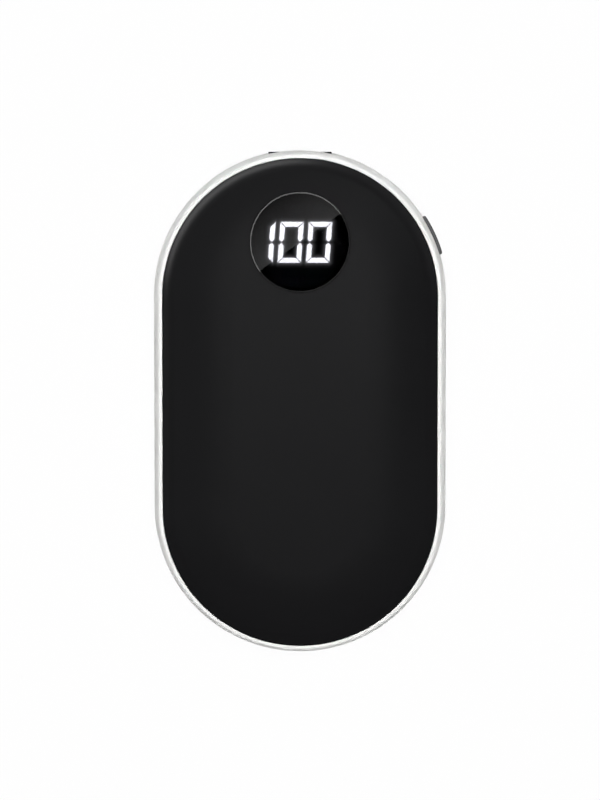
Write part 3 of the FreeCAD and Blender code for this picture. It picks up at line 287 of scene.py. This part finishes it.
# Rolled nickel strip: lines along the strip.
rolledNickel = {
    "surface": {"Metallic": 1.0},
    "tones": ("#b3b0a8", "#bebbb3"), "driftSize": 3,
    "grainSize": 0.2, "grainDepth": 0.003, "roughness": (0.25, 0.36), "stretch": (1, 0.06, 0.06),
}
dress(texturedFinish("rolledNickelStrip", rolledNickel), "cell_tabs", "cell_links")
# Etched alloy foil of the heating track: a grey bite.
etchedAlloy = {
    "surface": {"Metallic": 1.0},
    "tones": ("#99938a", "#a7a198"), "driftSize": 4,
    "grainSize": 0.15, "grainDepth": 0.004, "roughness": (0.35, 0.5),
}
dress(texturedFinish("etchedAlloyFoil", etchedAlloy), "front_heater_track", "rear_heater_track")

# Inside the case.
# Aluminium laminate, pressed into a pouch: bright, with soft dents.
pressedPouch = {
    "surface": {"Metallic": 1.0},
    "tones": ("#c3c5c7", "#cdcfd1"), "driftSize": 12,
    "grainSize": 3.0, "grainDepth": 0.05, "roughness": (0.26, 0.36),
}
dress(texturedFinish("pressedAluminiumLaminate", pressedPouch), "front_cell", "rear_cell")
# Solder mask on glass epoxy: glossy green over the weave of the cloth, 0.5 mm.
solderMask = {
    "surface": {"IOR": 1.55},
    "tones": ("#0c4a2b", "#0f5a34"), "driftSize": 6,
    "grainSize": 0.5, "grainDepth": 0.006, "roughness": (0.22, 0.34),
}
dress(texturedFinish("greenSolderMask", solderMask), "main_board", "protection_board")
# Cast polyimide film: amber and glossy.
castPolyimide = {
    "surface": {"IOR": 1.7},
    "tones": ("#a8661c", "#b87425"), "driftSize": 10,
    "grainSize": 1.5, "grainDepth": 0.006, "roughness": (0.2, 0.3),
}
dress(texturedFinish("castPolyimideFilm", castPolyimide), "front_heater_film", "rear_heater_film")
# Needled glass felt: white, dry and fibrous.
needledFelt = {
    "surface": {"IOR": 1.45, "Specular IOR Level": 0.2},
    "tones": ("#d9d8d2", "#e9e8e3"), "driftSize": 2,
    "grainSize": 0.3, "grainDepth": 0.08, "roughness": (0.85, 0.98), "stretch": (1, 0.25, 1),
}
dress(texturedFinish("needledGlassFelt", needledFelt), "front_insulator", "rear_insulator")
# Cradle: grey ABS blend from a plain mould.
greyCradle = {
    "surface": {"IOR": 1.55},
    "tones": ("#6a6c6f", "#727477"), "driftSize": 12,
    "grainSize": 0.3, "grainDepth": 0.008, "roughness": (0.45, 0.58),
}
dress(texturedFinish("greyMouldedAbsBlend", greyCradle), "battery_cradle")
# Epoxy moulding compound of the chips: charcoal and slightly sandy.
chipEpoxy = {
    "surface": {"IOR": 1.55},
    "tones": ("#1c1c1e", "#262628"), "driftSize": 1.5,
    "grainSize": 0.1, "grainDepth": 0.006, "roughness": (0.5, 0.65),
}
dress(texturedFinish("mouldedChipEpoxy", chipEpoxy), "charge_chip", "microcontroller", "heater_transistors",
      "board_resistors", "front_thermistor", "rear_thermistor")
# Sintered ferrite: dark grey and grainy.
sinteredFerrite = {
    "surface": {"IOR": 2.0, "Specular IOR Level": 0.3},
    "tones": ("#2a2928", "#363533"), "driftSize": 1.5,
    "grainSize": 0.2, "grainDepth": 0.02, "roughness": (0.5, 0.7),
}
dress(texturedFinish("sinteredFerrite", sinteredFerrite), "power_inductor")
# Fired ceramic of the capacitors: tan and smooth.
firedCeramic = {
    "surface": {"IOR": 1.6},
    "tones": ("#9a7a55", "#a98a63"), "driftSize": 0.8,
    "grainSize": 0.1, "grainDepth": 0.004, "roughness": (0.3, 0.42),
}
dress(texturedFinish("firedCeramic", firedCeramic), "board_capacitors")
# Extruded silicone on the leads: dull, with faint lines along the wire.
redSilicone = {
    "surface": {"IOR": 1.43},
    "tones": ("#8f1512", "#a01c18"), "driftSize": 3,
    "grainSize": 0.2, "grainDepth": 0.006, "roughness": (0.45, 0.6),
}
dress(texturedFinish("extrudedRedSilicone", redSilicone),
      "battery_positive_lead", "front_heater_leads", "rear_heater_leads")
blackSilicone = dict(redSilicone, tones=("#121213", "#1a1a1b"))
dress(texturedFinish("extrudedBlackSilicone", blackSilicone),
      "battery_negative_lead", "front_sensor_leads", "rear_sensor_leads")
# Acrylic foam tape under the lens: black and spongy.
foamTape = {
    "surface": {"IOR": 1.45, "Specular IOR Level": 0.1},
    "tones": ("#050505", "#090909"), "driftSize": 1,
    "grainSize": 0.12, "grainDepth": 0.02, "roughness": (0.8, 0.95),
}
dress(texturedFinish("blackAcrylicFoamTape", foamTape), "lens_adhesive")
# Acetal plunger of the switch: white and waxy.
waxyAcetal = {
    "surface": {"IOR": 1.48},
    "tones": ("#dedcd5", "#e6e4de"), "driftSize": 1,
    "grainSize": 0.1, "grainDepth": 0.004, "roughness": (0.3, 0.4),
}
dress(texturedFinish("mouldedWhiteAcetal", waxyAcetal), "switch_plunger")
print("inside finished")

# Studio: white paper that stays white to the eye but still takes some shadow, under a soft sky
# that is brightest in a ring and dark straight overhead. ringAt and zenithAt are the sine of the
# height in the sky. floorSize and wallHeight are in metres, floorDrop is in millimetres.
studio = {
    "floorSize": 6.0, "wallHeight": 2.0, "floorDrop": 0.02, "floorTone": "#e0e0e0", "floorGlow": 0.97,
    "horizon": 0.35, "ring": 0.42, "ringAt": 0.6, "zenith": 0.0, "zenithAt": 0.97,
}


def makeFloor():
    finish, tree = emptyFinish("paperFloor")
    path = addNode(tree, "ShaderNodeLightPath")
    seen = addNode(tree, "ShaderNodeMath", {"operation": "MAXIMUM"},
                   {0: path.outputs["Is Camera Ray"], 1: path.outputs["Is Glossy Ray"]})
    seen = addNode(tree, "ShaderNodeMath", {"operation": "MAXIMUM"},
                   {0: seen.outputs[0], 1: path.outputs["Is Transmission Ray"]})
    amount = addNode(tree, "ShaderNodeMath", {"operation": "MULTIPLY", 1: studio["floorGlow"]},
                     {0: seen.outputs[0]})
    paper = addNode(tree, "ShaderNodeBsdfDiffuse", {"Color": linear(studio["floorTone"])})
    white = addNode(tree, "ShaderNodeEmission", {"Strength": 1.0})
    blend = addNode(tree, "ShaderNodeMixShader",
                    links={0: amount.outputs[0], 1: paper.outputs[0], 2: white.outputs[0]})
    addNode(tree, "ShaderNodeOutputMaterial", links={"Surface": blend.outputs[0]})
    half = studio["floorSize"] / 2
    rim = [(-half, -half), (half, -half), (half, half), (-half, half)]
    floor = addPiece("floor", [(x, y, 0) for x, y in rim], [(0, 1, 2, 3)], finish)
    floor.location.z = -studio["floorDrop"] * mm
    # walls round the floor, so that a low view still ends in white; the light passes through them
    sides = [(side, side + 4, (side + 1) % 4 + 4, (side + 1) % 4) for side in range(4)]
    walls = addPiece("walls", [(x, y, z) for z in (0, studio["wallHeight"]) for x, y in rim], sides, finish)
    walls.visible_diffuse = False
    walls.visible_shadow = False


def makeSky():
    sky = bpy.data.worlds.new("studioSky")
    sky.use_nodes = True
    scene.world = sky
    tree = sky.node_tree
    tree.nodes.clear()
    direction = addNode(tree, "ShaderNodeTexCoord").outputs["Generated"]
    height = addNode(tree, "ShaderNodeSeparateXYZ", links={"Vector": direction}).outputs["Z"]
    ramp = addNode(tree, "ShaderNodeValToRGB", links={"Fac": height})
    horizon, zenith = ramp.color_ramp.elements
    horizon.color = [studio["horizon"]] * 3 + [1]
    zenith.color = [studio["zenith"]] * 3 + [1]
    zenith.position = studio["zenithAt"]
    ring = ramp.color_ramp.elements.new(studio["ringAt"])
    ring.color = [studio["ring"]] * 3 + [1]
    lit = addNode(tree, "ShaderNodeBackground", links={"Color": ramp.outputs["Color"]})
    addNode(tree, "ShaderNodeOutputWorld", links={"Surface": lit.outputs[0]})


# Three panels beside the camera light the object and stay clear of what the flat lens mirrors.
# The other three light only the gloss: the haze at the upper right, and the rims from low down.
# place in millimetres, size in metres, and the brightness of the panel's face.
panels = {
    "leftOfCamera": {"place": (-88, 60, 800), "size": (0.11, 0.11), "brightness": 40.0, "diffuse": True},
    "rightOfCamera": {"place": (88, 60, 800), "size": (0.11, 0.11), "brightness": 48.0, "diffuse": True},
    "aboveCamera": {"place": (0, 132, 800), "size": (0.11, 0.11), "brightness": 54.0, "diffuse": True},
    "upperRight": {"place": (230, 330, 760), "size": (0.11, 0.11), "brightness": 40.0, "diffuse": False},
    "lowStrip": {"place": (-493, 630, 165), "size": (1.4, 0.34), "brightness": 62.0, "diffuse": False},
    "lowFill": {"place": (566, 566, 165), "size": (1.2, 0.34), "brightness": 7.0, "diffuse": False},
}


def makePanels():
    middle = Vector((0, 0, (cadBox[0][2] + cadBox[1][2]) / 2))
    for name, panel in panels.items():
        lamp = bpy.data.lights.new(name, "AREA")
        lamp.shape = "RECTANGLE"
        lamp.size, lamp.size_y = panel["size"]
        lamp.energy = math.pi * panel["brightness"] * lamp.size * lamp.size_y
        lampObject = bpy.data.objects.new(name, lamp)
        lampObject.location = Vector(panel["place"]) * mm
        lampObject.rotation_euler = (middle - lampObject.location).to_track_quat("-Z", "Y").to_euler()
        lampObject.visible_diffuse = panel["diffuse"]
        scene.collection.objects.link(lampObject)


# The camera looks down on the display face from a little towards the charging socket.
# All in millimetres, apart from clip, which is in metres.
eye = {
    "distance": 550.0, "towardsSocket": 28.0, "aim": (0.0, 0.2, 12.0),
    "focal": 118.25, "sensor": 36.0, "clip": (0.01, 20.0),
}
eyePlace = (Vector(eye["aim"]) + Vector((0, eye["towardsSocket"], eye["distance"]))) * mm

# Papers by the camera that are seen only as reflections: a card with a slanting edge for the lens's
# flat face, and a ring for its bevel, bright on the card's side. Sizes in millimetres, angles in degrees.
card = {"height": 400.0, "edgeAngle": 35.4, "depth": 24.0, "width": 120.0, "faint": 0.02, "strong": 0.74}
ringCard = {"height": 250.0, "inner": 155.0, "outer": 225.0, "step": 5.0, "faint": 0.6, "strong": 4.0}


# strengths holds the brightness at each corner
def makePaper(name, corners, faces, strengths):
    finish, tree = emptyFinish(name + "Paper")
    strength = addNode(tree, "ShaderNodeAttribute", {"attribute_name": "strength"})
    light = addNode(tree, "ShaderNodeEmission", links={"Strength": strength.outputs["Fac"]})
    addNode(tree, "ShaderNodeOutputMaterial", links={"Surface": light.outputs[0]})
    paper = addPiece(name, corners, faces, finish, strength=strengths)
    paper.visible_camera = False
    paper.visible_shadow = False
    paper.visible_diffuse = False


def makeCards():
    onCard = lensMiddle + (lensMiddle - eyePlace) * card["height"] * mm / (eyePlace.z - lensMiddle.z)
    onCard.z = lensMiddle.z + card["height"] * mm
    angle = math.radians(card["edgeAngle"])
    along = Vector((math.cos(angle), math.sin(angle), 0)) * card["width"] * mm / 2
    deep = Vector((-math.sin(angle), math.cos(angle), 0)) * card["depth"] * mm
    makePaper("mirror_card", [onCard - along, onCard + along, onCard + along + deep, onCard - along + deep],
              [(0, 3, 2, 1)], [card["strong"], card["strong"], card["faint"], card["faint"]])
    corners, faces, strengths = [], [], []
    for turn, strength in ((0, ringCard["strong"]), (180, ringCard["faint"])):
        for step in range(int(180 / ringCard["step"]) + 1):
            bearing = math.radians(card["edgeAngle"] + turn + step * ringCard["step"])
            for reach in (ringCard["inner"], ringCard["outer"]):
                spread = Vector((math.cos(bearing) * reach, math.sin(bearing) * reach, ringCard["height"]))
                corners.append(lensMiddle + spread * mm)
                strengths.append(strength)
            if step:
                last = len(corners) - 1
                faces.append((last - 3, last - 2, last, last - 1))
    makePaper("mirror_ring", corners, faces, strengths)


def makeCamera():
    cameraData = bpy.data.cameras.new("photo_camera")
    cameraData.sensor_width = eye["sensor"]
    cameraData.lens = eye["focal"]
    cameraData.clip_start, cameraData.clip_end = eye["clip"]
    camera = bpy.data.objects.new("photo_camera", cameraData)
    camera.location = eyePlace
    camera.rotation_euler = (-math.atan2(eye["towardsSocket"], eye["distance"]), 0, 0)
    scene.collection.objects.link(camera)
    scene.camera = camera


makeFloor()
makeSky()
makePanels()
makeCards()
makeCamera()
print("studio and camera set")
